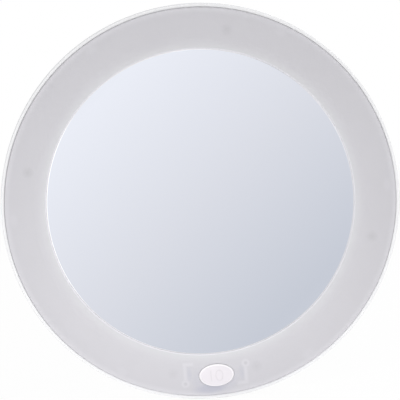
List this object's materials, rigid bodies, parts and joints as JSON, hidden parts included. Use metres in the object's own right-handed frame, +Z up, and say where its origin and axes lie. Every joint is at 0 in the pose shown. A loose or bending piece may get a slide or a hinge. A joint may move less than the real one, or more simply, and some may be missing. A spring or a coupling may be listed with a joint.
{
  "type": "lighted makeup mirror",
  "caption": "Round wall-held makeup mirror with a frosted lit ring round a recessed concave glass, an oval push button, a cell compartment in the back and suction cups.",
  "frame": {"origin": "centre of the wall plane that the cups' lips lie on, on the mirror's axis", "axes": "+Z up with the button at the bottom, -Y towards the user, +Y into the wall"},
  "size_m": [0.235, 0.0383, 0.235],
  "materials": {
    "housing_white": "glossy moulded white",
    "diffuser_frosted": "frosted translucent white",
    "mirror_silver": "silvered glass",
    "tape_foam": "closed-cell foam",
    "button_white": "glossy moulded white",
    "switch_blue": "moulded",
    "plunger_white": "moulded",
    "pin_tin": "tinned",
    "board_white": "white solder mask",
    "led_lens": "clear epoxy over yellow phosphor",
    "resistor_black": "glazed chip",
    "screw_steel": "zinc plated",
    "lead_red": "soft insulation",
    "lead_black": "soft insulation",
    "cell_jacket": "printed sleeve",
    "contact_nickel": "nickel plated",
    "door_white": "glossy moulded white",
    "cup_rubber": "soft translucent"
  },
  "bodies": {
    "mirror": {"rear_housing": "housing_white", "diffuser_ring": "diffuser_frosted", "mirror_glass": "mirror_silver", "mirror_tape": "tape_foam", "switch_body": "switch_blue", "switch_pins": "pin_tin", "led_legs": "pin_tin", "switch_board": "board_white", "led_board_right": "board_white", "led_board_top": "board_white", "led_board_left": "board_white", "led_lower_right": "led_lens", "led_right": "led_lens", "led_top": "led_lens", "led_left": "led_lens", "led_lower_left": "led_lens", "ballast_resistors": "resistor_black", "board_screws": "screw_steel", "ring_lead_red": "lead_red", "battery_lead_red": "lead_red", "ring_lead_black": "lead_black", "battery_lead_black": "lead_black", "battery_cell_1": "cell_jacket", "battery_cell_2": "cell_jacket", "battery_cell_3": "cell_jacket", "contact_positive": "contact_nickel", "contact_bridge_left": "contact_nickel", "contact_bridge_right": "contact_nickel", "contact_negative": "contact_nickel", "suction_cup_top": "cup_rubber", "suction_cup_left": "cup_rubber", "suction_cup_right": "cup_rubber"},
    "button": {"power_button": "button_white", "switch_plunger": "plunger_white"},
    "door": {"battery_door": "door_white", "door_latch": "door_white"}
  },
  "joints": [
    {"name": "button_press", "type": "slide", "parent": "mirror", "child": "button", "axis": [0, 1, 0], "range_m": [0, 0.0015], "stiffness_N_per_m": 600, "springref_m": -0.002},
    {"name": "door_swing", "type": "hinge", "parent": "mirror", "child": "door", "pos_m": [0, -0.01, -0.01705], "axis": [-1, 0, 0], "range_deg": [0, 90], "deforming": ["door_latch"]}
  ]
}
